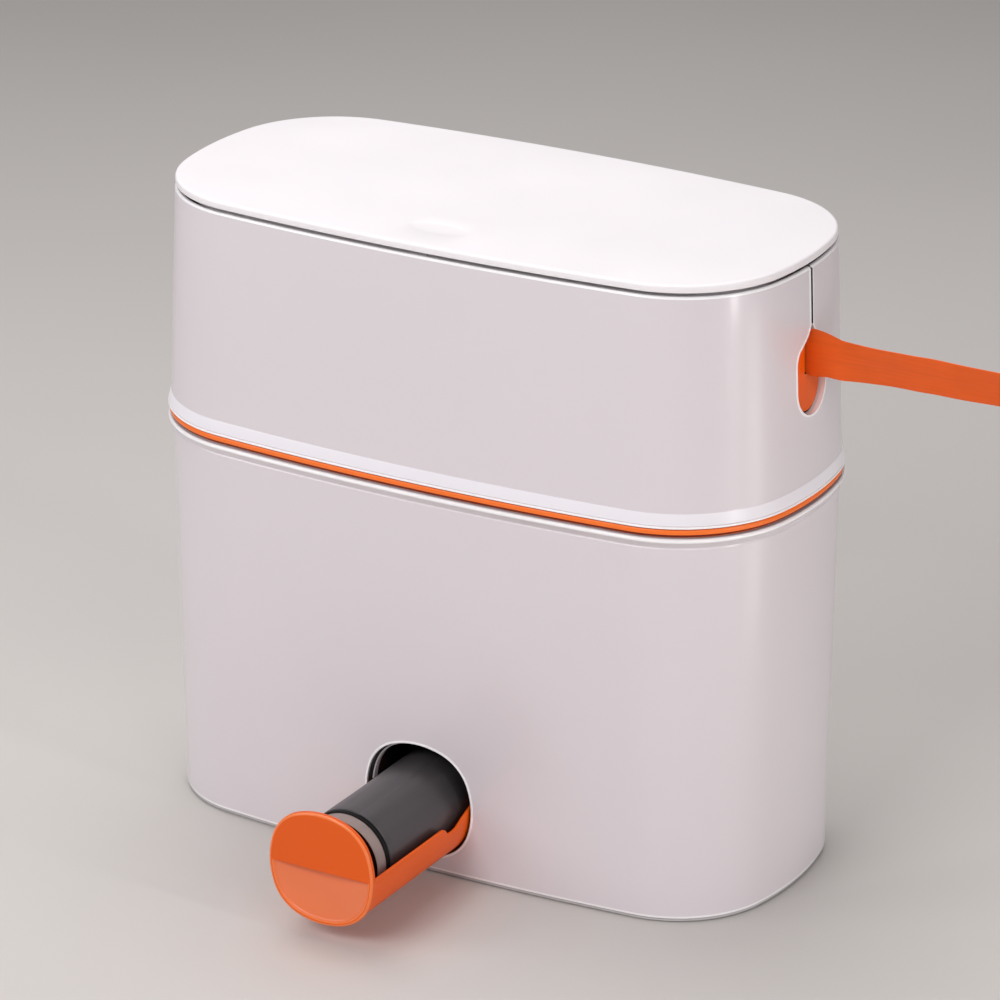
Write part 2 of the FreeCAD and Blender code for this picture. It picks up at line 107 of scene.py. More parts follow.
FACE_T = 3.0
PUCK_DEPTH = 6.5
ROLL_R = (roll_high.z - roll_low.z) / 2
ROLL_Z = roll_low.z + ROLL_R
CORE_R = 11.0
STRAP_Z = (strap_low.z + strap_high.z) / 2
STRAP_W = strap_high.z - strap_low.z

SIDE_C = -(SIDE_R - DEPTH / 2)          # centre of the +Y side's arc
END_C = -(END_R - WIDTH / 2)            # centre of the +X end's arc
ARC_STEPS = (10, 24, 26)                # end, corner and side, in a quarter of the outline


# ---- mesh helpers ----
def outline(inset, corner=CORNER_R):
    """Points of the bin's oval plan, drawn in by inset, once round from +X."""
    a = SIDE_R - corner
    b = END_R - corner
    gap = math.hypot(END_C, SIDE_C)
    along = (a * a - b * b + gap * gap) / (2 * gap)
    off = math.sqrt(a * a - along * along)
    ux, uy = END_C / gap, -SIDE_C / gap
    cx = along * ux + off * uy
    cy = SIDE_C + along * uy - off * ux
    side_t = math.atan2(cy - SIDE_C, cx)
    end_t = math.atan2(cy, cx - END_C)
    arcs = [
        (END_C, 0, END_R, 0, end_t), (cx, cy, corner, end_t, side_t),
        (0, SIDE_C, SIDE_R, side_t, math.pi / 2),
    ]
    quarter = []
    for (x, y, radius, start, stop), steps in zip(arcs, ARC_STEPS):
        turn = np.linspace(start, stop, steps, endpoint=False)
        quarter.append(np.c_[x + (radius - inset) * np.cos(turn), y + (radius - inset) * np.sin(turn)])
    quarter = np.concatenate(quarter)
    top = np.array([[0, SIDE_C + SIDE_R - inset]])
    first = np.concatenate([quarter, top])
    second = (quarter * [-1, 1])[::-1]
    half = np.concatenate([first, second])
    return np.concatenate([half, (half * [1, -1])[::-1][1:-1]])


def rounded(points, steps=4):
    """A closed path through (a, b, radius) points with its corners rounded."""
    path = []
    count = len(points)
    for i, (a, b, radius) in enumerate(points):
        here = Vector((a, b))
        if radius <= 0:
            path.append(tuple(here))
            continue
        back = Vector(points[i - 1][:2]) - here
        ahead = Vector(points[(i + 1) % count][:2]) - here
        reach = min(radius, back.length * 0.48, ahead.length * 0.48)
        start = here + back.normalized() * reach
        stop = here + ahead.normalized() * reach
        for k in range(steps + 1):
            t = k / steps
            path.append(tuple(start * (1 - t) ** 2 + here * 2 * t * (1 - t) + stop * t * t))
    return path


def port_outline(inset, quarter_steps=(9, 16)):
    """(x, z) points of the dispenser opening about its axis, drawn in by inset."""
    back = PORT_SIDE_R - PORT_R
    reach = PORT_SIDE_R - PORT_CORNER_R
    corner = (math.sqrt(2 * reach * reach - back * back) - back) / 2
    turn = math.atan2(corner, corner + back)
    side = np.linspace(-turn, turn, quarter_steps[0], endpoint=False)
    bend = np.linspace(turn, math.pi / 2 - turn, quarter_steps[1], endpoint=False)
    side_r, bend_r = PORT_SIDE_R - inset, PORT_CORNER_R - inset
    quarter = np.concatenate([
        np.c_[side_r * np.cos(side) - back, side_r * np.sin(side)],
        np.c_[corner + bend_r * np.cos(bend), corner + bend_r * np.sin(bend)],
    ])
    turns = [quarter @ np.array([[c, s], [-s, c]]) for c, s in ((1, 0), (0, 1), (-1, 0), (0, -1))]
    return np.concatenate(turns)


def skin(name, rings, closed=False, caps=(False, False), edge=None):
    """A mesh through equal rings of points in millimetres.

    edge(i) is the mark, a material's index, for the faces between ring i and the next."""
    count = len(rings[0])
    points = np.concatenate(rings) * MM
    faces = []
    pairs = list(zip(range(len(rings)), range(1, len(rings))))
    if closed:
        pairs.append((len(rings) - 1, 0))
    for i, j in pairs:
        for k in range(count):
            n = (k + 1) % count
            faces.append((i * count + k, i * count + n, j * count + n, j * count + k))
    if caps[0]:
        faces.append(tuple(reversed(range(count))))
    if caps[1]:
        faces.append(tuple(range((len(rings) - 1) * count, len(rings) * count)))
    mesh = bpy.data.meshes.new(name)
    mesh.from_pydata([tuple(p) for p in points], [], faces)
    if edge:
        marks = np.zeros(len(faces), dtype=np.int32)
        marks[:len(pairs) * count] = np.repeat([int(edge(i)) for i in range(len(pairs))], count)
        mesh.polygons.foreach_set("material_index", marks)
    obj = bpy.data.objects.new(name, mesh)
    bpy.context.scene.collection.objects.link(obj)
    return tidy(obj)


def marked(obj, index):
    """Marks every face of obj for one of its materials."""
    obj.data.polygons.foreach_set("material_index", [index] * len(obj.data.polygons))
    return obj


def dressed(obj, *materials):
    """Gives obj its materials and keeps the marks of its faces."""
    marks = np.zeros(len(obj.data.polygons), dtype=np.int32)
    obj.data.polygons.foreach_get("material_index", marks)
    obj.data.materials.clear()
    for material in materials:
        obj.data.materials.append(material)
    obj.data.polygons.foreach_set("material_index", marks)
    return obj


def tidy(obj):
    """Merges doubled points and turns the faces outward."""
    shape = bmesh.new()
    shape.from_mesh(obj.data)
    bmesh.ops.remove_doubles(shape, verts=shape.verts, dist=1e-7)
    bmesh.ops.recalc_face_normals(shape, faces=shape.faces)
    shape.to_mesh(obj.data)
    shape.free()
    return obj


def oval_stack(name, path, corner_at=lambda z: CORNER_R, closed=True, caps=(False, False), edge=None):
    """A shell from a path of (inset, height) points carried round the outline.

    edge(inset, z) is the mark for the faces whose middle is there."""
    rings = []
    for inset, z in path:
        plan = outline(inset, corner_at(z))
        rings.append(np.c_[plan, np.full(len(plan), z)])

    def mark(i):
        ahead = path[(i + 1) % len(path)]
        return edge((path[i][0] + ahead[0]) / 2, (path[i][1] + ahead[1]) / 2)

    return skin(name, rings, closed, caps, mark if edge else None)


def ported(name, path, closed=True, caps=(False, False), edge=None):
    """A solid with the dispenser opening's outline, from (inset, y) points."""
    rings = []
    for inset, y in path:
        plan = port_outline(inset)
        rings.append(np.c_[plan[:, 0], np.full(len(plan), y), DRAWER_Z + plan[:, 1]])
    return skin(name, rings, closed, caps, edge)


def turned(name, path, z0, columns=128):
    """A solid turned about a line along Y at height z0, from (radius, y) points."""
    turn = np.linspace(0, 2 * math.pi, columns, endpoint=False)
    rings = []
    for radius, y in path:
        rings.append(np.c_[radius * np.cos(turn), np.full(columns, y), z0 + radius * np.sin(turn)])
    return skin(name, rings, closed=True)


def block(name, low, high):
    """A box between two corners, used as a cutter or as the start of a shape."""
    x0, y0, z0 = low
    x1, y1, z1 = high
    plan = np.array([[x0, y0], [x1, y0], [x1, y1], [x0, y1]])
    return skin(name, [np.c_[plan, np.full(4, z0)], np.c_[plan, np.full(4, z1)]], caps=(True, True))


def applied(obj):
    """Bakes obj's modifiers into its mesh."""
    graph = bpy.context.evaluated_depsgraph_get()
    graph.update()
    mesh = bpy.data.meshes.new_from_object(obj.evaluated_get(graph))
    obj.modifiers.clear()
    obj.data = mesh
    return obj


def combine(obj, other, operation="DIFFERENCE"):
    """Cuts other out of obj, or adds it, and removes other."""
    step = obj.modifiers.new("combine", "BOOLEAN")
    step.operation = operation
    step.solver = "EXACT"
    step.object = other
    applied(obj)
    bpy.data.objects.remove(other)
    return obj


def soften(obj, width):
    """Rounds the sharp edges of obj."""
    step = obj.modifiers.new("soften", "BEVEL")
    step.width = width * MM
    step.segments = 3
    step.limit_method = "ANGLE"
    step.angle_limit = math.radians(35)
    step.use_clamp_overlap = True
    return applied(obj)


def joined(name, pieces):
    """One object holding the meshes of several."""
    shape = bmesh.new()
    for piece in pieces:
        shape.from_mesh(piece.data)
    mesh = bpy.data.meshes.new(name)
    shape.to_mesh(mesh)
    shape.free()
    for piece in pieces:
        bpy.data.objects.remove(piece)
    obj = bpy.data.objects.new(name, mesh)
    bpy.context.scene.collection.objects.link(obj)
    return obj


def finished(obj, body, material, nodes=(), angle=32):
    """Shades obj, gives it its material and says what it stands for."""
    mesh = obj.data
    mesh.polygons.foreach_set("use_smooth", [True] * len(mesh.polygons))
    mesh.set_sharp_from_angle(angle=math.radians(angle))
    if not mesh.materials:
        mesh.materials.append(material)
    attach(obj, body)
    if nodes:
        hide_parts(*nodes)
    return obj


# ---- materials ----
def linear(red, green, blue):
    """An sRGB colour from 0 to 255 as linear values."""
    out = []
    for value in (red, green, blue):
        value /= 255
        out.append(value / 12.92 if value <= 0.04045 else ((value + 0.055) / 1.055) ** 2.4)
    return (*out, 1.0)


class Finish:
    """A Principled material that is built up node by node."""

    def __init__(self, name, roughness, **sockets):
        self.material = bpy.data.materials.new(name)
        self.material.use_nodes = True
        self.tree = self.material.node_tree
        self.shader = self.tree.nodes["Principled BSDF"]
        self.shader.inputs["Roughness"].default_value = roughness
        for socket, value in sockets.items():
            self.shader.inputs[socket.replace("_", " ")].default_value = value
        self.place = self.tree.nodes.new("ShaderNodeTexCoord").outputs["Object"]

    def node(self, kind, **values):
        """A new node; each value goes to the input, by link or number, or setting of that name."""
        made = self.tree.nodes.new(kind)
        for key, value in values.items():
            if isinstance(value, bpy.types.NodeSocket):
                self.tree.links.new(value, made.inputs[key.replace("_", " ")])
            elif key.replace("_", " ") in made.inputs:
                made.inputs[key.replace("_", " ")].default_value = value
            else:
                setattr(made, key, value)
        return made

    def stretched(self, scale):
        return self.node("ShaderNodeMapping", Vector=self.place, Scale=scale).outputs["Vector"]

    def noise(self, scale, detail=2.0, place=None):
        """Noise from 0 to 1, in the object's own coordinates or in place's."""
        made = self.node("ShaderNodeTexNoise", Vector=place or self.place, Scale=scale, Detail=detail)
        return made.outputs["Fac"]

    def spread(self, value, low, high):
        """The middle range of a noise, 0.3 to 0.7, carried to low to high."""
        made = self.node("ShaderNodeMapRange", Value=value)
        made.inputs["From Min"].default_value = 0.3
        made.inputs["From Max"].default_value = 0.7
        made.inputs["To Min"].default_value = low
        made.inputs["To Max"].default_value = high
        return made.outputs["Result"]

    def tone(self, noise, first, second):
        """Base colour that wanders between two colours with a noise."""
        self.colour(self.blend(self.spread(noise, 0, 1), first, second))

    def blend(self, factor, first, second):
        made = self.node("ShaderNodeMix", data_type="RGBA")
        self.tree.links.new(factor, made.inputs["Factor"])
        for socket, value in ((made.inputs["A"], first), (made.inputs["B"], second)):
            self.into(socket, value)
        return made.outputs["Result"]

    def into(self, socket, value):
        if isinstance(value, bpy.types.NodeSocket):
            self.tree.links.new(value, socket)
        else:
            socket.default_value = value

    def colour(self, value):
        self.into(self.shader.inputs["Base Color"], value)

    def rough(self, value):
        self.into(self.shader.inputs["Roughness"], value)

    def bump(self, height, distance):
        """Adds height times distance, in metres, to the surface."""
        made = self.node("ShaderNodeBump", Height=height, Distance=distance, Strength=1.0)
        old = self.shader.inputs["Normal"].links
        if old:
            self.tree.links.new(old[0].from_socket, made.inputs["Normal"])
        self.tree.links.new(made.outputs["Normal"], self.shader.inputs["Normal"])


def shade(colour, factor):
    return tuple(min(1.0, c * factor) for c in colour[:3]) + (1.0,)


def moulded(name, colour, roughness, grain=0.00002, variation=0.02, coat=0.0, specular=0.5):
    """Injection-moulded plastic: fine grain, faint flow variation and slight smudges."""
    made = Finish(name, roughness, Coat_Weight=coat, Coat_Roughness=0.18, Specular_IOR_Level=specular)
    made.tone(made.noise(9.0, 3.0), shade(colour, 1 - variation), shade(colour, 1 + variation))
    made.rough(made.spread(made.noise(23.0, 4.0), roughness * 0.88, roughness * 1.14))
    made.bump(made.noise(1400.0, 2.0), grain)
    made.bump(made.noise(160.0, 1.0), grain * 1.6)
    return made.material


def strap_band():
    """Extruded flat band: lengthwise lines and a satin gloss."""
    made = Finish("strap_band", 0.42, Specular_IOR_Level=0.3)
    colour = linear(233, 94, 24)
    lines = made.noise(1.0, 3.0, made.stretched((14, 900, 900)))
    base = made.blend(made.spread(made.noise(30.0, 3.0), 0, 1), shade(colour, 0.93), shade(colour, 1.08))
    made.colour(made.blend(made.spread(lines, 0, 0.5), base, shade(colour, 0.86)))
    made.rough(made.spread(lines, 0.36, 0.5))
    made.bump(lines, 0.00006)
    return made.material


def wound_film():
    """Thin bag film wound tight: lengthwise gloss streaks and soft wrinkles."""
    made = Finish("wound_film", 0.36, Coat_Weight=0.25, Coat_Roughness=0.3)
    colour = linear(61, 58, 60)
    streak = made.noise(1.0, 4.0, made.stretched((120, 9, 120)))
    wrinkle = made.noise(70.0, 3.0, made.stretched((1.0, 0.35, 1.0)))
    made.tone(streak, shade(colour, 0.86), shade(colour, 1.16))
    made.rough(made.spread(streak, 0.3, 0.46))
    made.bump(streak, 0.00012)
    made.bump(wrinkle, 0.00018)
    return made.material


def paper(name, colour):
    """Matt paper or card: fibres and a faint mottle."""
    made = Finish(name, 0.72)
    made.tone(made.noise(140.0, 3.0), shade(colour, 0.92), shade(colour, 1.07))
    made.bump(made.noise(1.0, 4.0, made.stretched((900, 260, 900))), 0.00007)
    return made.material


def steel():
    made = Finish("plain_steel", 0.28, Metallic=1.0)
    turned_lines = made.noise(1.0, 3.0, made.stretched((1500, 60, 60)))
    made.tone(turned_lines, linear(165, 165, 168), linear(205, 205, 208))
    made.rough(made.spread(turned_lines, 0.2, 0.36))
    made.bump(turned_lines, 0.00001)
    return made.material


def rubber():
    made = Finish("foot_rubber", 0.75)
    made.tone(made.noise(60.0, 3.0), linear(26, 26, 27), linear(40, 40, 41))
    made.bump(made.noise(900.0, 2.0), 0.00008)
    return made.material


WHITE = moulded("white_shell", linear(224, 217, 221), 0.33, variation=0.008, coat=0.6)
# Near-white painted highlight for rounded edges, rims and lips.
EDGE_HIGHLIGHT_WHITE = moulded("painted_edge_highlight", linear(255, 253, 254), 0.2, grain=0.000005, variation=0.004, coat=0.5)
# The lid's white is lighter than the shell's: painted light from above on its top.
LID_PAINTED_LIGHT = moulded("white_lid", linear(245, 241, 243), 0.36, variation=0.006)
# A white lighter than the shell's: painted light on the skirt's upward face and on the lip inside the
# opening.
PAINTED_LIGHT_WHITE = moulded("white_painted_light", linear(243, 240, 245), 0.3, variation=0.006)
INNER_WHITE = moulded("white_inner", linear(228, 224, 226), 0.5, grain=0.00005, variation=0.012)
GREY_BASE = moulded("grey_base", linear(196, 193, 195), 0.5, grain=0.00005, variation=0.02)
ORANGE = moulded("orange_part", linear(232, 92, 10), 0.38, variation=0.03, specular=0.3)
# A lighter copy of the orange: painted highlight on the trim band's bulge.
ORANGE_BAND_PAINTED_LIGHT = moulded("orange_band_painted_light", linear(255, 122, 44), 0.34, variation=0.02, specular=0.35)
# A dark copy of the orange: painted shade in the trim band's grooves.
ORANGE_PAINTED_SHADE = moulded("orange_painted_shade", linear(120, 30, 6), 0.5, variation=0.03, specular=0.2)
# A lighter, pinker orange for the scoop's floor: painted sheen.
ORANGE_SCOOP_SHEEN = moulded("orange_scoop_painted_sheen", linear(236, 124, 76), 0.3, variation=0.02)
# A lighter, glossier orange for the drawer's rounded edges: painted highlight.
ORANGE_EDGE_HIGHLIGHT = moulded("orange_painted_edge_highlight", linear(246, 124, 58), 0.28, grain=0.000005, variation=0.02, coat=0.3)
BLACK = moulded("black_ring", linear(13, 12, 12), 0.6, grain=0.00003, variation=0.1, specular=0.2)
DARK = moulded("dark_housing", linear(38, 37, 38), 0.42, grain=0.00005, variation=0.06)
STRAP = strap_band()
FILM = wound_film()
TAUPE = paper("paper_band", linear(150, 134, 130))
CARD = paper("core_card", linear(168, 140, 108))
STEEL = steel()
RUBBER = rubber()
# The drawer's orange, its painted edge highlight and its scoop's painted sheen.
DRAWER_FINISH = (ORANGE, ORANGE_EDGE_HIGHLIGHT, ORANGE_SCOOP_SHEEN)
COLLAR_FINISH = (WHITE, EDGE_HIGHLIGHT_WHITE, PAINTED_LIGHT_WHITE, DARK)
HIGHLIGHT_MARK, SKIRT, SLIT_SHADE_MARK = 1, 2, 3     # the collar's marks besides its wall's 0: painted highlight, painted light on the skirt, painted shade inside the slit


# ---- bucket ----
def foot_corner(z):
    """Radius of the plan's corners at height z: tighter towards the foot."""
    return FOOT_CORNER_R + (CORNER_R - FOOT_CORNER_R) * min(z, WALL_TOP_Z) / WALL_TOP_Z


def bucket_inset(z):
    """How far the bucket's wall stands in from the plan at height z."""
    return FOOT_INSET + (RIM_INSET - FOOT_INSET) * z / WALL_TOP_Z


def collar_inset(z):
    """The same for the collar's wall, above its skirt."""
    part = (z - SKIRT_TOP_Z) / (COLLAR_TOP_Z - SKIRT_TOP_Z)
    return SKIRT_TOP_INSET + (COLLAR_TOP_INSET - SKIRT_TOP_INSET) * part


CUT_IN = 12.0            # how far a cutter reaches into the bin, and out of it
CUT_OUT = 4.0
BEAD_RISE = 0.25         # how far the raised rim round an opening stands out; the rim carries the painted highlight white
EDGE_ROUND = 1.1         # rounding where an opening meets the outside
ROUND_TURNS = [math.radians(t) for t in (0, 18, 36, 54, 72, 84)]


def is_flare(i):
    """True of the ring pairs of a cutter that round the opening's edge."""
    return 1 <= i < len(ROUND_TURNS)


def opening_ring(grow, depth):
    """The dispenser opening's outline laid on the front wall, moved out by grow and in by depth."""
    plan = port_outline(-grow)
    x, z = plan[:, 0], DRAWER_Z + plan[:, 1]
    reach = SIDE_R - bucket_inset(z)
    return np.c_[x, depth - np.sqrt(reach ** 2 - x ** 2) - SIDE_C, z]


def opening_cutter():
    """A plug through the front wall that flares where it leaves the wall, to round the edge."""
    rings = [opening_ring(0, CUT_IN)]
    for a in ROUND_TURNS:
        rings.append(opening_ring(EDGE_ROUND * (1 - math.cos(a)), EDGE_ROUND * (1 - math.sin(a))))
    rings.append(opening_ring(EDGE_ROUND * 1.6, -CUT_OUT))
    # The flared pairs, which become the opening's rounded edge, carry the painted highlight white.
    return dressed(skin("opening_cutter", rings, caps=(True, True), edge=is_flare), WHITE, EDGE_HIGHLIGHT_WHITE)


def bead(width):
    """(grow, depth) path of the slightly raised rim that runs round an opening and carries the painted
    highlight.
    """
    return rounded([(0.02, 0.9, 0), (0.02, -BEAD_RISE, 0.3), (width, -BEAD_RISE, 0.3), (width, 0.9, 0)], 3)


def bucket_skin():
    """The bucket's wall, with its rolled rim, front opening and a painted highlight on its rim's lip and foot
    edge.
    """
    low = bucket_inset(SHELL_Z)
    mid = bucket_inset(MID_Z)
    foot_z = SHELL_Z + FOOT_HIGHLIGHT
    path = rounded([
        (low, SHELL_Z, 0.5), (bucket_inset(foot_z), foot_z, 0), (mid, MID_Z, 0), (RIM_INSET, 201.6, 0.3),
        (RIM_INSET + 0.35, WALL_TOP_Z, 0.25), (RIM_INSET + 0.1, 202.9, 0.5), (0.35, 205.8, 0.5),
        (0.0, 206.2, 0.3), (0.0, 207.2, 0.5), (0.8, RIM_Z, 0.4), (RIM_INSET + WALL, RIM_Z, 0.5),
        (RIM_INSET + WALL, WALL_TOP_Z, 0), (mid + WALL, MID_Z, 0), (low + WALL, SHELL_Z, 0.4),
    ])

    # Faces on the rim's lip and along the foot get the painted highlight white.
    def bright(inset, z):
        return (z > 205.6 and inset < 1.2) or (z < foot_z and inset < low + 0.4)

    shell = dressed(oval_stack("bucket_skin", path, foot_corner, edge=bright), WHITE, EDGE_HIGHLIGHT_WHITE)
    combine(shell, opening_cutter())
    # The raised rim round the opening is painted highlight white all round.
    rim = skin("opening_rim", [opening_ring(grow, depth) for grow, depth in bead(1.25)], closed=True)
    shell = dressed(joined("bucket_skin", [shell, marked(rim, 1)]), WHITE, EDGE_HIGHLIGHT_WHITE)
    return finished(shell, "bucket", WHITE, ["lower_bucket"], angle=28)


def dispenser_sleeve():
    """The dark sleeve behind the front opening, with the slot that bags leave through."""
    front, back = tube_low.y, tube_high.y
    path = rounded([
        (0.95, front + 2, 0.2), (-3.6, front + 2, 0.3), (-3.6, front, 0.3), (0.05, front, 0),
        (0.05, front - 2.3, 0.15), (0.45, front - 2.3, 0.15), (0.45, front + 0.2, 0),
        (0.95, front + 0.2, 0.2),
    ])
    mouth = ported("mouth", path)
    path = rounded([
        (-2.1, front + 2, 0), (-2.1, back, 0.6), (PORT_CORE, back, 0), (PORT_CORE, back - 2, 0),
        (-0.1, back - 2, 1.0), (-0.1, front + 2, 0),
    ])
    start = next(i for i, (inset, y) in enumerate(path) if inset == PORT_CORE and y < back - 1)
    path = path[start:] + path[:start]
    sleeve = ported("dispenser_sleeve", path, closed=False, caps=(True, True))
    # The bags leave through a slot on top, and two saddles carry the sleeve from below.
    combine(sleeve, block("feed_cut", (-5, -45, DRAWER_Z + 20), (5, 28, DRAWER_Z + 40)))
    saddles = [soften(block("saddle", (-14, y, 3.6), (14, y + 8, 7.2)), 0.5) for y in (-60, 22)]
    sleeve = joined("dispenser_sleeve", [sleeve, mouth] + saddles)
    finished(sleeve, "bucket", DARK, ["dispenser_tube"])
    # A pale lip shows inside the opening, above the drawer's middle; its white is lighter than the shell's,
    # painted light in the opening's shade.
    lip = ported("sleeve_lip", rounded([
        (1.7, front + 0.5, 0.25), (0.3, front + 0.5, 0), (0.3, front + 4.2, 0), (1.7, front + 4.2, 0.3),
    ]))
    combine(lip, block("lower", (-40, front - 5, 0), (40, front + 10, DRAWER_Z + 3.6)))
    return finished(lip, "bucket", PAINTED_LIGHT_WHITE)


# ---- collar ----
TEAR_HALF = 14.5
TEAR_BOTTOM_Z = 254.1
TEAR_SHOULDER_Z = 282.0
TEAR_TIP_Z = 299.0
TEAR_RIM_W = 1.8
TEAR_RIM_T = 1.2
SLIT_HALF = 0.75


def arc_points(centre, radius, start, stop, steps):
    """Points of an arc, with its angles in degrees."""
    turn = np.radians(np.linspace(start, stop, steps))
    return np.c_[centre[0] + radius * np.cos(turn), centre[1] + radius * np.sin(turn)]


def curve_points(a, b, c, steps=10):
    """A smooth bend from a to c that leans towards b."""
    t = np.linspace(0, 1, steps)[:, None]
    return np.array(a) * (1 - t) ** 2 + np.array(b) * 2 * t * (1 - t) + np.array(c) * t ** 2


TEAR_STEPS = 33          # points of the teardrop's round bottom


def keyhole(top_z):
    """(y, z) outline of the teardrop opening and, up to top_z, the slit above it."""
    half = TEAR_HALF
    bottom = arc_points((0, TEAR_BOTTOM_Z + half), half, -180, 0, TEAR_STEPS)
    hip = (half * 0.78, TEAR_SHOULDER_Z + 7.3)
    bulge = curve_points((half, TEAR_SHOULDER_Z), (half * 0.98, TEAR_SHOULDER_Z + 4.6), hip)
    flare = curve_points(hip, (SLIT_HALF * 2.2, TEAR_TIP_Z - 3.5), (SLIT_HALF, TEAR_TIP_Z + 1))
    right = np.concatenate([bulge, flare[1:], [[SLIT_HALF, top_z]]])
    left = (right * [-1, 1])[::-1]
    return np.concatenate([bottom[:-1], [[half, TEAR_BOTTOM_Z + half]], right, left])


def grown(points, distance):
    """A closed outline moved outward by distance along its normals."""
    ahead = np.roll(points, -1, axis=0) - points
    behind = points - np.roll(points, 1, axis=0)
    normals = []
    for edge in (ahead, behind):
        length = np.maximum(np.linalg.norm(edge, axis=1, keepdims=True), 1e-9)
        normals.append(np.c_[edge[:, 1], -edge[:, 0]] / length)
    mean = normals[0] + normals[1]
    mean /= np.maximum(np.linalg.norm(mean, axis=1, keepdims=True), 1e-9)
    return points + mean * distance


def end_surface(points, depth):
    """Points of a (y, z) outline laid on the collar's +X end, moved in by depth."""
    y, z = points[:, 0], points[:, 1]
    reach = END_R - collar_inset(z)
    x = END_C + np.sqrt(reach ** 2 - y ** 2) - depth
    return np.c_[x, y, z]


def keyhole_cutter():
    """A plug through the teardrop and the slit, flared like the opening's."""
    shape = keyhole(COLLAR_TOP_Z + 6)
    rings = [end_surface(shape, CUT_IN)]
    for a in ROUND_TURNS:
        flared = grown(shape, EDGE_ROUND * (1 - math.cos(a)))
        rings.append(end_surface(flared, EDGE_ROUND * (1 - math.sin(a))))
    rings.append(end_surface(grown(shape, EDGE_ROUND * 1.5), -CUT_OUT))
    cutter = skin("keyhole_cutter", rings, caps=(True, True), edge=is_flare)
    # Inside walls below the slit get the painted highlight; the slit's walls get the dark housing colour as
    # painted shade.
    for face in cutter.data.polygons:
        if face.material_index == 0:
            face.material_index = SLIT_SHADE_MARK if face.center.z > (TEAR_TIP_Z + 0.5) * MM else HIGHLIGHT_MARK
    return dressed(cutter, *COLLAR_FINISH)


def keyhole_rim():
    """The rim behind the wall that makes the teardrop opening deeper."""
    shape = grown(keyhole(TEAR_TIP_Z + 1), TEAR_RIM_W)
    rings = [end_surface(shape, depth) for depth in (WALL - 0.05, WALL + TEAR_RIM_T)]
    return combine(dressed(skin("keyhole_rim", rings, caps=(True, True)), *COLLAR_FINISH), keyhole_cutter())


def keyhole_bead():
    """The raised rim round the teardrop and up both sides of the slit, in painted highlight white, with
    painted shade where it runs into the slit.
    """
    shape = keyhole(COLLAR_TOP_Z + 6)
    first = len(shape) - (len(shape) - TEAR_STEPS) // 2
    rings = []
    for grow, depth in bead(1.3):
        points = np.roll(grown(shape, grow), -first, axis=0)
        for end, beside in ((0, 1), (-1, -2)):
            points[end] = (points[beside][0], COLLAR_TOP_Z - 0.9)
        rings.append(end_surface(points, depth))
    rim = skin("keyhole_bead", list(np.transpose(rings, (1, 0, 2))), caps=(True, True))
    for face in rim.data.polygons:
        in_slit = face.center.z > TEAR_TIP_Z * MM and abs(face.center.y) < (SLIT_HALF + 0.12) * MM
        face.material_index = SLIT_SHADE_MARK if in_slit else HIGHLIGHT_MARK
    return rim


PIN_LENGTH = 30.0
HINGE_X = pin_high.x - PIN_LENGTH / 2
PIVOT_Y = (pin_low.y + pin_high.y) / 2
PIVOT_Z = (pin_low.z + pin_high.z) / 2
PIN_R = (pin_high.z - pin_low.z) / 2
KNUCKLE_R = 3.3
KNUCKLE_L = 7.8
NOTCH_HALF = 8.2         # half width of the notch at each hinge, with a barrel on both sides
NOTCH_Z = 320.2


def hinge_barrel(x0):
    """One of the collar's bored barrels on the hinge line, from x0 on."""
    x1 = x0 + KNUCKLE_L
    path = rounded([(PIN_R, x0, 0), (KNUCKLE_R, x0, 0.4), (KNUCKLE_R, x1, 0.4), (PIN_R, x1, 0)], 3)
    turn = np.linspace(0, 2 * math.pi, 48, endpoint=False)
    rings = []
    for r, x in path:
        rings.append(np.c_[np.full(48, x), PIVOT_Y + r * np.cos(turn), PIVOT_Z + r * np.sin(turn)])
    return skin("barrel", rings, closed=True)


def collar_skin():
    """The collar's wall, with its skirt, slit, teardrop opening, hinge notches and barrels."""
    top = COLLAR_TOP_Z
    low_z, high_z = COLLAR_RING_Z
    low, high = collar_inset(low_z), collar_inset(high_z)
    path = rounded([
        (0.5, COLLAR_Z, 0.2), (0.0, 213.3, 0.2), (0.0, 214.05, 0.15), (0.5, 214.25, 0.1), (0.5, 214.5, 0.1),
        (0.2, 214.75, 0.25), (SKIRT_TOP_INSET - 0.25, SKIRT_TOP_Z - 0.3, 0.4),
        (SKIRT_TOP_INSET, SKIRT_TOP_Z + 0.3, 0.4), (low, low_z, 0), (high, high_z, 0),
        (COLLAR_TOP_INSET, top, 1.5), (COLLAR_TOP_INSET + WALL, top, 0.5), (high + WALL, high_z, 0),
        (low + WALL, low_z, 0), (SKIRT_TOP_INSET + WALL, SKIRT_TOP_Z, 0.5),
        (SKIRT_TOP_INSET + WALL, COLLAR_Z, 0.3),
    ])

    def mark(inset, z):
        # The top edge and the skirt's lower lip get the painted highlight; the skirt's upward face gets the
        # lighter white as painted light from above.
        if (z > top - 1.5 and inset < COLLAR_TOP_INSET + 1.5) or (z < 214.2 and inset < 0.3):
            return HIGHLIGHT_MARK
        return SKIRT if 214.7 < z < SKIRT_TOP_Z and inset < SKIRT_TOP_INSET + 0.1 else 0

    shell = dressed(oval_stack("collar_skin", path, edge=mark), *COLLAR_FINISH)
    combine(shell, keyhole_cutter())
    barrels = []
    for side in (-1, 1):
        x = side * HINGE_X
        combine(shell, block("notch", (x - NOTCH_HALF, 74, NOTCH_Z), (x + NOTCH_HALF, 92, TOP_Z)))
        for start in (-NOTCH_HALF - KNUCKLE_L, NOTCH_HALF):
            barrels.append(hinge_barrel(x + start))
    shell = dressed(joined("collar_skin", [shell, keyhole_rim(), keyhole_bead()] + barrels), *COLLAR_FINISH)
    return finished(shell, "collar", WHITE, ["collar_shell"], angle=28)


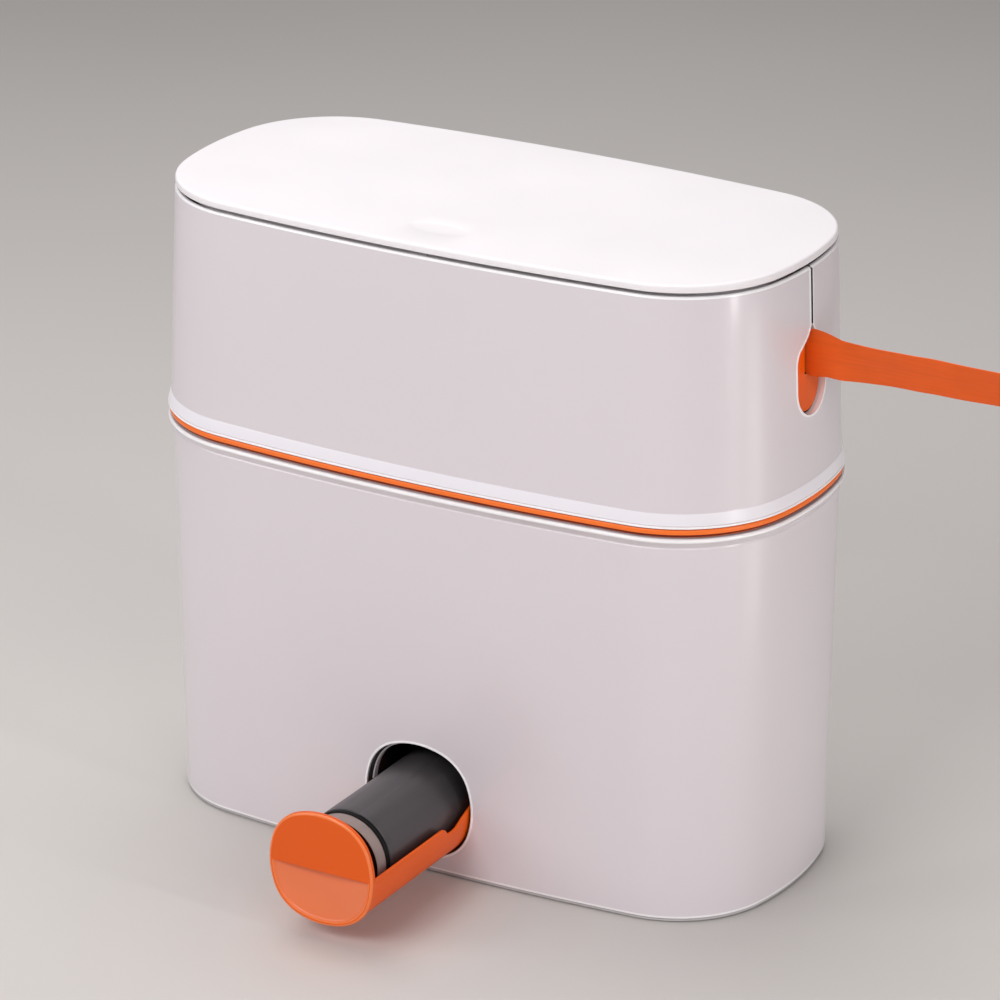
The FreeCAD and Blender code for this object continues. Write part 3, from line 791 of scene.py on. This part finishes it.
def trim_band():
    """The orange ring between collar and bucket, with its two spigots."""
    path = rounded([
        (5.4, TRIM_LOW_Z, 0.6), (5.4, RIM_Z, 0), (3.4, RIM_Z, 0), (3.4, 208.2, 0.2), (2.4, 208.5, 0.3),
        (1.0, 209.4, 0.4), (0.82, 210.0, 0), (0.6, 210.7, 0.6), (0.8, 212.1, 0.8), (1.8, 212.9, 0),
        (4.7, 212.9, 0), (4.7, TRIM_HIGH_Z, 0.6), (7.5, TRIM_HIGH_Z, 0.6), (7.5, TRIM_LOW_Z, 0.6),
    ])

    # Faces under the bulge and under the collar's lip get the dark orange: painted shade.
    def in_painted_shade(inset, z):
        return inset < 3.45 and (208.1 < z < 210.0 or z > 212.6)

    band = dressed(oval_stack("trim_band", path, edge=in_painted_shade), ORANGE_BAND_PAINTED_LIGHT, ORANGE_PAINTED_SHADE)
    return finished(band, "collar", ORANGE_BAND_PAINTED_LIGHT, ["trim_ring"])


PLATE_DEPTH = 3.0
PLATE_BACK = 4.5
PLATE_GAP = 0.9
PLATE_ROUND = 0.7
SLOT_HALF_Z = 11.1
SLOT_Y = (-1.7, 1.0)


def guide_plate():
    """The recessed orange plate that fills the teardrop, with the strap's slot."""
    shape = keyhole(TEAR_TIP_Z + 1.5)
    # Drawn in, the narrow tip would cross itself, so the plate stops short of it.
    kept = (shape[:, 1] < TEAR_SHOULDER_Z) | (abs(shape[:, 0]) > 2.4)
    rings = [end_surface(grown(shape, -PLATE_GAP)[kept], PLATE_BACK)]
    for a in (0, 22, 45, 68, 90):
        a = math.radians(a)
        shrink = PLATE_GAP + PLATE_ROUND * (1 - math.cos(a))
        rings.append(end_surface(grown(shape, -shrink)[kept], PLATE_DEPTH + PLATE_ROUND * (1 - math.sin(a))))
    plate = skin("guide_plate", rings, caps=(True, True))
    behind = grown(shape, 3.0)
    rings = [end_surface(behind, depth) for depth in (WALL + TEAR_RIM_T + 0.1, PLATE_BACK)]
    flange = skin("flange", rings, caps=(True, True))
    # The flange, seen through the gap round the plate, and the slot's walls are black: painted shade.
    for piece, index in ((plate, 0), (flange, 1)):
        dressed(marked(piece, index), ORANGE, BLACK)
        slot = block("slot", (150, SLOT_Y[0], STRAP_Z - SLOT_HALF_Z), (190, SLOT_Y[1], STRAP_Z + SLOT_HALF_Z))
        combine(piece, dressed(marked(slot, 1), ORANGE, BLACK))
    plate = dressed(joined("guide_plate", [plate, flange]), ORANGE, BLACK)
    return finished(plate, "collar", ORANGE, ["strap_guide"])


def hinge_coils():
    """Wound torsion springs on the hinge pins, each with two straight legs."""
    coils = []
    wire, mean, pitch, turns, per_turn = 0.42, 2.25, 0.95, 3, 24
    for side in (-1, 1):
        x0 = side * HINGE_X - pitch * turns / 2
        path = []
        for i in range(per_turn * turns + 1):
            a = 2 * math.pi * i / per_turn
            y, z = PIVOT_Y + mean * math.cos(a), PIVOT_Z + mean * math.sin(a)
            path.append(Vector((x0 + pitch * i / per_turn, y, z)))
        path.insert(0, path[0] + Vector((0, -0.4, -4.2)))
        path.append(path[-1] + Vector((0, -0.4, -4.2)))
        coils.append(wire_tube(path, wire))
    return finished(joined("hinge_coils", coils), "collar", STEEL, ["hinge_springs"])


def wire_tube(path, radius, sides=10):
    """A round wire along path."""
    rings = []
    side = Vector((1, 0, 0))
    for i, point in enumerate(path):
        ahead = (path[min(i + 1, len(path) - 1)] - path[max(i - 1, 0)]).normalized()
        side = (side - ahead * side.dot(ahead)).normalized()
        up = ahead.cross(side)
        ring_points = []
        for k in range(sides):
            a = 2 * math.pi * k / sides
            ring_points.append(tuple(point + side * radius * math.cos(a) + up * radius * math.sin(a)))
        rings.append(np.array(ring_points))
    return skin("wire", rings, caps=(True, True))


# ---- lid ----
LID_CORE = 48.0          # inset of the innermost ring, where the flat top is closed
PRESS_MARK = (-2.0, -57.0)
PRESS_MARK_SIZE = (15.9, 7.8)
PRESS_MARK_DEPTH = 0.3


def lid_skin():
    """The thin flat lid with its rounded rim and press mark."""
    under = LID_Z + LID_T - LID_SKIN
    path = rounded([
        (LID_INSET + LID_SKIN, LID_Z, 0.3), (LID_INSET + 0.1, LID_Z, 0.8), (LID_INSET, TOP_Z, 1.7),
        (LID_CORE, TOP_Z, 0), (LID_CORE, under, 0), (LID_INSET + LID_SKIN, under, 0.6),
    ], 7)
    start = next(i for i, (inset, z) in enumerate(path) if inset == LID_CORE)
    path = path[start + 1:] + path[:start + 1]
    lid = oval_stack("lid_skin", path, closed=False, caps=(True, True))
    turn = np.linspace(0, 2 * math.pi, 96, endpoint=False)
    rings = []
    bowl = ((0, 1.0), (0.5, 0.97), (0.8, 0.82), (0.93, 0.5), (0.98, 0.25), (1.03, 0), (1.05, -2))
    for share, depth in bowl:
        x = PRESS_MARK[0] + PRESS_MARK_SIZE[0] * share * np.cos(turn)
        y = PRESS_MARK[1] + PRESS_MARK_SIZE[1] * share * np.sin(turn)
        rings.append(np.c_[x, y, np.full(96, TOP_Z - PRESS_MARK_DEPTH * depth)])
    combine(lid, skin("mark", rings, caps=(False, True)))
    # Closes the notch in the inner panel's lip on both sides of the striker.
    curtain = soften(block("curtain", (-8.1, -75.9, LID_Z - 4.4), (8.1, -74.7, LID_Z + 0.4)), 0.2)
    lid = joined("lid_skin", [lid, curtain])
    return finished(lid, "lid", LID_PAINTED_LIGHT, ["lid_top"], angle=28)


# ---- drawer and bag roll ----
TRAY_EDGE = [
    (-108.6, 0), (-107.0, -0.3), (-105.0, -1.3), (-103.4, -3.1), (-101.6, -4.4), (-99.0, -4.8), (-96.4, -4.8),
    (-93.6, -4.2), (-91.0, -2.9), (-88.6, -1.4), (-86.2, -0.3), (-83.0, 0.9), (-79.0, 2.2),
]


def tray_edge(y):
    """Height of the trough's edge above the drawer's axis: straight, a notch, then a rise."""
    ys, zs = zip(*TRAY_EDGE)
    return float(np.interp(y, ys, zs))


def arc_of_port(inset, height, steps=61):
    """(x, z) points of the opening's outline below height, from -X round to +X."""
    plan = port_outline(inset, (40, 60))
    plan = plan[np.argsort(np.arctan2(plan[:, 0], -plan[:, 1]))]
    right = plan[plan[:, 0] > 0]
    reach = np.interp(height, right[:, 1], right[:, 0])
    keep = np.concatenate([[[-reach, height]], plan[plan[:, 1] < height - 0.05], [[reach, height]]])
    length = np.r_[0, np.cumsum(np.linalg.norm(np.diff(keep, axis=0), axis=1))]
    at = np.linspace(0, length[-1], steps)
    return np.c_[np.interp(at, length, keep[:, 0]), np.interp(at, length, keep[:, 1])]


def trough():
    """The half-open trough as closed cross-sections with rounded edges."""
    # Sections stand close together only where the edge bends.
    ys = [FACE_Y + 1, -150, -130, -115] + [y for y, z in TRAY_EDGE] + [-75, -70, -65, -60, tray_high.y]
    cheek = TROUGH_WALL / 2
    rings = []
    for y in ys:
        top = tray_edge(y) - cheek
        out = arc_of_port(TROUGH_INSET, top)
        inn = arc_of_port(TROUGH_INSET + TROUGH_WALL, top)[::-1]
        caps = []
        for x_out, x_in in ((out[-1], inn[0]), (inn[-1], out[0])):
            middle, half = (x_out + x_in) / 2, (x_out - x_in) / 2
            for k in (36, 72, 108, 144):
                a = math.radians(k)
                caps.append(middle + half * math.cos(a) + np.array([0, cheek * math.sin(a)]))
        section = np.concatenate([out, caps[:4], inn, caps[4:]])
        rings.append(np.c_[section[:, 0], np.full(len(section), y), DRAWER_Z + section[:, 1]])
    return skin("trough", rings, caps=(True, True))


def drawer_face():
    """The front: flat above, with a finger scoop below the middle."""
    back = FACE_Y + FACE_T
    path = rounded([
        (PORT_CORE, FACE_Y, 0), (FACE_INSET, FACE_Y, 1.3), (FACE_INSET, back, 0.5), (PORT_CORE, back, 0),
    ], 6)
    rounding = range(1, 6)
    # The rounding round the front's edge gets the painted highlight orange.
    face = ported("face", path, closed=False, caps=(True, True), edge=lambda i: i in rounding)
    deep = FACE_Y + PUCK_DEPTH
    path = rounded([
        (PORT_CORE, back - 0.5, 0), (TROUGH_INSET + 0.1, back - 0.5, 0), (TROUGH_INSET + 0.1, deep, 0.6),
        (PORT_CORE, deep, 0),
    ])
    puck = ported("puck", path, closed=False, caps=(True, True))
    combine(puck, block("upper", (-40, FACE_Y - 5, DRAWER_Z), (40, FACE_Y + 12, DRAWER_Z + 40)))
    dressed(face, *DRAWER_FINISH)
    combine(face, dressed(puck, *DRAWER_FINISH), "UNION")
    return combine(face, dressed(scoop_cutter(), *DRAWER_FINISH))


SCOOP_INSET = 3.2
SCOOP_DEPTH = 5.0
SCOOP_STEP = 1.0
SCOOP_LIP = -0.6


def scoop_cutter():
    """A shallow half bowl below the middle line, deepest at the middle of that line."""
    edge_points = arc_of_port(SCOOP_INSET, SCOOP_LIP, 91)
    shares = (0.97, 0.92, 0.86, 0.79, 0.71, 0.62, 0.52, 0.41, 0.3, 0.2, 0.11, 0.04)
    floor = [(share, SCOOP_STEP + (SCOOP_DEPTH - SCOOP_STEP) * (1 - share ** 2)) for share in shares]
    rings = []
    for share, depth in [(1.03, -3.0), (1.03, -0.02), (1.01, 0.15), (1.0, 0.45), (0.985, SCOOP_STEP)] + floor:
        x = edge_points[:, 0] * share
        z = SCOOP_LIP + (edge_points[:, 1] - SCOOP_LIP) * share
        rings.append(np.c_[x, np.full(len(x), FACE_Y + depth), DRAWER_Z + z])
    # The pairs round the rim get the painted highlight orange, the rest of the bowl the painted sheen.
    return skin("scoop", rings, caps=(True, True), edge=lambda i: 1 if i in (1, 2) else 2)


def drawer_tray():
    """The whole drawer: front, trough, half-height end wall and two stop lugs."""
    back = tray_high.y
    path = rounded([
        (PORT_CORE, back - 2, 0), (TROUGH_INSET + 0.4, back - 2, 0), (TROUGH_INSET + 0.1, back, 0.6),
        (PORT_CORE, back, 0),
    ])
    end = ported("end", path, closed=False, caps=(True, True))
    combine(end, block("upper", (-40, -80, DRAWER_Z + 1.6), (40, -40, DRAWER_Z + 40)))
    lug_y = tube_low.y + 2.3
    lugs = ported("lugs", rounded([
        (TROUGH_INSET + 0.9, lug_y, 0), (0.4, lug_y, 0.4), (0.4, lug_y + 3, 0.4),
        (TROUGH_INSET + 0.9, lug_y + 3, 0),
    ]))
    combine(lugs, block("above", (-40, -90, DRAWER_Z - 0.5), (40, -60, 90)))
    combine(lugs, block("below", (-40, -90, 0), (40, -60, DRAWER_Z - 13)))
    tray = dressed(joined("drawer_tray", [drawer_face(), trough(), end, lugs]), *DRAWER_FINISH)
    return finished(tray, "drawer", ORANGE, ["dispenser_tray"], angle=30)


def roll_part(name, radius, hollow, y0, y1, edge, material, node):
    """A ring or tube on the roll's axis."""
    path = rounded([(hollow, y0, 0.2), (radius, y0, edge), (radius, y1, edge), (hollow, y1, 0.2)])
    return finished(turned(name, path, ROLL_Z), "bag_roll", material, [node])


def film_coil():
    """The wound bags: slightly uneven along and round, with the loose end's step."""
    y0, y1 = roll_low.y, roll_high.y
    columns = 180
    turn = np.linspace(0, 2 * math.pi, columns, endpoint=False)
    step_at = math.radians(75)
    rings = []

    def ring_at(radius, y, bite):
        wave = 0.10 * np.sin(2 * turn + y * 0.05) + 0.06 * np.sin(5 * turn - y * 0.11) - 0.16
        wound = ((turn - step_at) % (2 * math.pi)) / (2 * math.pi)
        r = radius + (wave - 0.34 * (1 - wound)) * bite
        return np.c_[r * np.cos(turn), np.full(columns, y), ROLL_Z + r * np.sin(turn)]

    rings.append(ring_at(CORE_R, y0 + 0.3, 0))
    for k in range(14):
        out = CORE_R + (ROLL_R - 0.9 - CORE_R) * (k + 1) / 14
        rings.append(ring_at(out, y0 + (0.15 if k % 2 else 0.4), 0.2))
    for y, r in ((y0 + 0.1, ROLL_R - 0.5), (y0 + 0.5, ROLL_R - 0.12), (y0 + 1.4, ROLL_R)):
        rings.append(ring_at(r, y, 1))
    for y in np.linspace(y0 + 6, y1 - 6, 16):
        rings.append(ring_at(ROLL_R, y, 1))
    for y, r in ((y1 - 1.4, ROLL_R), (y1 - 0.5, ROLL_R - 0.12), (y1 - 0.1, ROLL_R - 0.5)):
        rings.append(ring_at(r, y, 1))
    rings.append(ring_at(CORE_R, y1 - 0.3, 0))
    return finished(skin("film_coil", rings, closed=True), "bag_roll", FILM, ["film_roll"])


def bag_roll():
    """The roll's paper band, with the bags' ends inside it, the clip, the core and the bags."""
    low, high = span("roll_band")
    radius = (high.z - low.z) / 2
    roll_part("band_sleeve", radius, radius - 0.45, low.y, high.y, 0.2, TAUPE, "roll_band")
    path = rounded([
        (CORE_R, low.y + 0.4, 0), (radius - 0.5, low.y + 0.4, 0.3), (radius - 0.5, high.y, 0),
        (CORE_R, high.y, 0),
    ])
    finished(turned("wound_end", path, ROLL_Z), "bag_roll", BLACK)
    low, high = span("roll_clip")
    radius = (high.z - low.z) / 2
    roll_part("roll_clip_ring", radius, CORE_R, low.y, high.y, 0.7, BLACK, "roll_clip")
    low, high = span("roll_core")
    roll_part("card_core", CORE_R, CORE_R - 1.5, low.y, high.y, 0.3, CARD, "roll_core")
    film_coil()


# ---- strap ----
STRAP_T = strap_high.y - strap_low.y
STRAP_TWIST = math.radians(19)
TAB_END_R = 5.0
TWIST_X = 186            # where the band starts to turn, to cup and to fold
CUP_X = 190
CREASE_X = 182
CREASE_LENGTH = 110
STRAP_LIFT = [
    (160, 0.6), (181, 0.6), (190, -0.7), (202, -0.4), (226, 0.4), (240, 0.9), (257, 0.6), (300, 0.6),
]


def eased(x, table):
    """Value of a table of (x, value) at x, eased between its entries."""
    for (x0, v0), (x1, v1) in zip(table, table[1:]):
        if x <= x1:
            part = max(0.0, (x - x0) / (x1 - x0))
            return v0 + (v1 - v0) * (0.5 * part + 0.5 * part * part * (3 - 2 * part))
    return table[-1][1]


def strap_frame(x):
    """Twist, sideways drift and lift of the strap at x."""
    away = max(0.0, x - TWIST_X)
    turn = STRAP_TWIST * (1 - math.exp(-away / 16))
    ripple = math.sin(away * 0.085) * min(1.0, away / 30)
    return turn + 0.03 * ripple, 0.5 * ripple, eased(x, STRAP_LIFT)


def strap_half(x, half):
    """Half width at x: the band flares where it comes out under the slit."""
    away = (x - lip_high.x + collar_inset(STRAP_Z)) / 9.0
    return half + (1.7 * math.exp(-away * away) if away > 0 else max(0, 1.7 + away * 3.0))


def crease(x, w):
    """A soft lengthwise fold that wanders across the band."""
    across = (w - 0.1 - 0.25 * math.sin((x - 180) * 0.04)) / 0.35
    along = min(1.0, max(0.0, (x - CREASE_X) / 20)) * max(0.0, 1 - (x - CREASE_X) / CREASE_LENGTH)
    return -0.7 * math.exp(-across * across) * along


def strap_section(x, half, thick):
    """Cross-section of the band at x, with rounded edges and a slight cup."""
    twist, drift, lift = strap_frame(x)
    cup = 0.25 + 0.5 * min(1.0, max(0.0, (x - CUP_X) / 40))
    flat = []
    for k in range(13):
        w = -1 + 2 * k / 12
        flat.append((thick / 2 * (1 - abs(w) ** 14 * 0.7) - cup * w * w + crease(x, w), half * w))
    for k in range(13):
        w = 1 - 2 * k / 12
        flat.append((-thick / 2 * (1 - abs(w) ** 14 * 0.7) - cup * w * w + crease(x, w), half * w))
    flat = np.array(flat)
    c, s = math.cos(twist), math.sin(twist)
    y = flat[:, 0] * c - flat[:, 1] * s + drift
    z = flat[:, 0] * s + flat[:, 1] * c
    return np.c_[np.full(len(flat), x), y, STRAP_Z + lift + z]


def strap_ribbon():
    """The band from the slot to the tab, on a mesh of its own."""
    xs = np.linspace(strap_low.x, strap_high.x + 1.5, 90)
    rings = [strap_section(x, strap_half(x, STRAP_W / 2), STRAP_T) for x in xs]
    band = skin("strap_ribbon", rings, caps=(True, True))
    finished(band, "collar", STRAP, ["pull_strap"], angle=40)
    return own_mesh(band)


def strap_tab():
    """The folded and stitched end that the hand pulls."""
    x0, x1 = tab_low.x, tab_high.x
    thick = tab_high.y - tab_low.y
    rings = []
    bend = x1 - TAB_END_R
    rounding = bend + TAB_END_R * np.sin(np.linspace(0.2, math.pi / 2, 8))
    for x in np.concatenate([np.linspace(x0, bend, 12), rounding]):
        into = max(0.0, (x - bend) / TAB_END_R)
        half = (tab_high.z - tab_low.z) / 2 - TAB_END_R * (1 - math.sqrt(max(0.0, 1 - into * into)))
        swell = 0.55 + 0.45 * min(1.0, (x - x0) / 2.0)
        rings.append(strap_section(x, half, thick * swell * (1 - 0.3 * into ** 3)))
    tab = skin("strap_tab", rings, caps=(True, True))
    return finished(tab, "strap", STRAP, ["pull_tab"], angle=45)


def tab_stitches():
    """Two rows of thread across the tab."""
    twist, drift, lift = strap_frame(tab_low.x)
    threads = []
    for x in (tab_low.x + 4, tab_low.x + 7):
        for k in range(6):
            for face in (-1, 1):
                w = -7.5 + 3 * k
                rise = face * 1.72
                points = []
                for t, lift_off in ((-1.1, -0.35), (-0.6, 0.05), (0, 0.12), (0.6, 0.05), (1.1, -0.35)):
                    y = (rise + face * lift_off - 0.25 * (w / 11) ** 2)
                    z = w + t
                    points.append(Vector((x, y * math.cos(twist) - z * math.sin(twist) + drift,
                                          STRAP_Z + lift + y * math.sin(twist) + z * math.cos(twist))))
                threads.append(wire_tube(points, 0.28, 8))
    return finished(joined("tab_stitches", threads), "strap", STRAP, angle=60)


# ---- CAD pieces that stay ----
def finish_cad_nodes():
    """Materials for the CAD nodes that no piece here replaces."""
    kept = {
        "base_plate": GREY_BASE, "foot_ring": RUBBER, "base_screws": STEEL, "inner_floor": INNER_WHITE,
        "feed_grommet": ORANGE, "strap_track": INNER_WHITE, "strap_loop": STRAP, "hinge_pins": STEEL,
        "latch_housing": DARK, "latch_plunger": INNER_WHITE, "latch_spring": STEEL,
        "lid_inner_panel": INNER_WHITE, "latch_striker": INNER_WHITE,
    }
    for node, material in kept.items():
        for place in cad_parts[node].material_slots:
            place.material = material


# ---- studio ----
CAMERA_AZIMUTH = math.radians(30.255)
CAMERA_ELEVATION = math.radians(22.1)
CAMERA_DISTANCE = 2.615
CAMERA_LENS = 185.6
CAMERA_TARGET = Vector((-0.00115, 0.0, 0.1727))


def camera():
    """A long lens on the bin's right front corner, looking slightly down."""
    flat = math.cos(CAMERA_ELEVATION)
    across, along = math.sin(CAMERA_AZIMUTH) * flat, -math.cos(CAMERA_AZIMUTH) * flat
    back = Vector((across, along, math.sin(CAMERA_ELEVATION)))
    lens = bpy.data.cameras.new("camera")
    lens.lens = CAMERA_LENS
    lens.sensor_width = 36.0
    eye = bpy.data.objects.new("camera", lens)
    eye.location = CAMERA_TARGET + back * CAMERA_DISTANCE
    eye.rotation_euler = back.to_track_quat("Z", "Y").to_euler()
    bpy.context.scene.collection.objects.link(eye)
    bpy.context.scene.camera = eye


def soft_light(name, place, aim, size, power, colour):
    """A rectangular lamp that the camera doesn't see."""
    light = bpy.data.lights.new(name, "AREA")
    light.shape = "RECTANGLE"
    light.size, light.size_y = size
    light.energy = power
    light.color = colour
    lamp = bpy.data.objects.new(name, light)
    lamp.location = place
    lamp.rotation_euler = (Vector(place) - Vector(aim)).to_track_quat("Z", "Y").to_euler()
    lamp.visible_camera = False
    bpy.context.scene.collection.objects.link(lamp)


def studio():
    """A plain floor, a dim world and six soft lights."""
    made = Finish("pale_floor", 0.6)
    made.tone(made.noise(2.0, 2.0), linear(203, 199, 195), linear(207, 203, 199))
    size = 6.0
    corners = [(-size, -size, 0), (size, -size, 0), (size, size, 0), (-size, size, 0)]
    mesh = bpy.data.meshes.new("floor")
    mesh.from_pydata(corners, [], [(0, 1, 2, 3)])
    mesh.materials.append(made.material)
    floor = bpy.data.objects.new("floor", mesh)
    bpy.context.scene.collection.objects.link(floor)

    world = bpy.data.worlds.new("studio")
    world.use_nodes = True
    world.node_tree.nodes["Background"].inputs["Color"].default_value = (0.96, 0.95, 1.0, 1.0)
    world.node_tree.nodes["Background"].inputs["Strength"].default_value = 0.13
    bpy.context.scene.world = world
    aim = (0, 0, 0.18)
    soft_light("overhead", (-0.4, 0.35, 1.7), aim, (1.5, 1.2), 20, (1.0, 0.985, 0.98))
    soft_light("front_high", (-0.2, -1.9, 1.6), aim, (1.2, 0.8), 20, (0.99, 0.98, 1.0))
    soft_light("front_left", (-1.6, -1.6, 1.2), aim, (1.0, 1.0), 14, (1.0, 0.98, 0.985))
    soft_light("right_front", (1.5, -1.3, 1.3), aim, (0.8, 0.8), 6.6, (1.0, 0.97, 0.97))
    soft_light("corner_strip", (1.55, -0.35, 0.5), aim, (0.14, 1.2), 7.4, (1.0, 0.96, 0.95))
    soft_light("low_strip", (0.52, 0.02, 0.12), (0.15, -0.05, 0.2), (0.1, 0.22), 0.1, (1.0, 0.97, 0.96))
    bpy.context.scene.view_settings.view_transform = "Standard"


camera()
studio()
bucket_skin()
dispenser_sleeve()
collar_skin()
trim_band()
guide_plate()
hinge_coils()
lid_skin()
drawer_tray()
bag_roll()
strap_ribbon()
strap_tab()
tab_stitches()
finish_cad_nodes()
